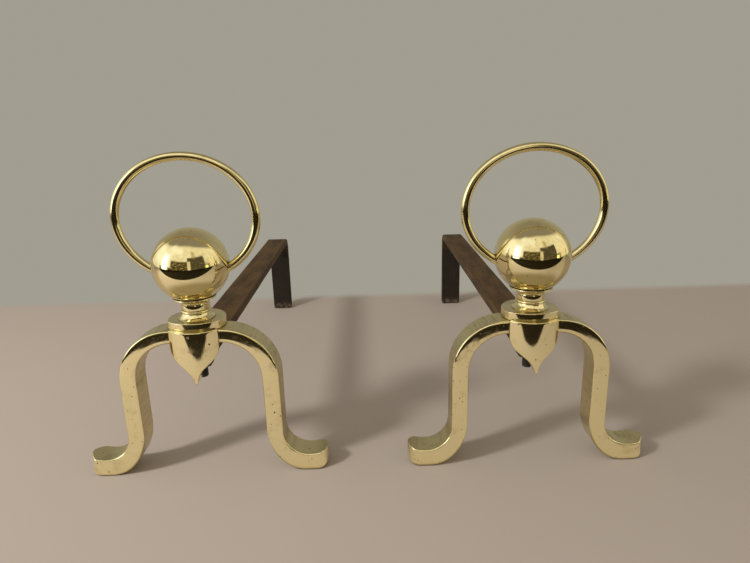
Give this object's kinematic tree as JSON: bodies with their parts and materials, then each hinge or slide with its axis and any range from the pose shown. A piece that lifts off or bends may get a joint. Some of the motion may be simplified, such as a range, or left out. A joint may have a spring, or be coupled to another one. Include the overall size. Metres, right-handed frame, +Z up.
{
  "type": "pair of andirons",
  "caption": "Ring-and-ball hearth andirons with arched legs, pendant drops and iron billet bars that run back to rear legs to carry logs.",
  "frame": {"origin": "on the hearth floor, in the middle of the bounding box of the pair", "axes": "+Z up, +Y from the brass fronts towards the back of the hearth, +X from the left andiron to the right one as seen from the front"},
  "size_m": [0.5394, 0.5364, 0.305],
  "materials": {
    "brass": "polished cast brass, light gold",
    "brass_rod": "drawn brass rod, polished, slightly dull",
    "rusted_iron": "wrought bar, rust-brown, dull",
    "black_iron": "blackened iron, dull"
  },
  "bodies": {
    "left_andiron": {"left_leg_casting": "brass", "left_plinth_with_drop": "brass", "left_base_ring": "brass", "left_neck": "brass", "left_ball": "brass", "left_ring": "brass_rod", "left_tie_rod": "black_iron", "left_billet_bar": "rusted_iron", "left_washer": "black_iron", "left_square_nut": "black_iron"},
    "right_andiron": {"right_leg_casting": "brass", "right_plinth_with_drop": "brass", "right_base_ring": "brass", "right_neck": "brass", "right_ball": "brass", "right_ring": "brass_rod", "right_tie_rod": "black_iron", "right_billet_bar": "rusted_iron", "right_washer": "black_iron", "right_square_nut": "black_iron"}
  },
  "joints": [
    {"name": "spacing_slide", "type": "slide", "parent": "left_andiron", "child": "right_andiron", "axis": [1, 0, 0], "range_m": [-0.07, 0.25]}
  ]
}
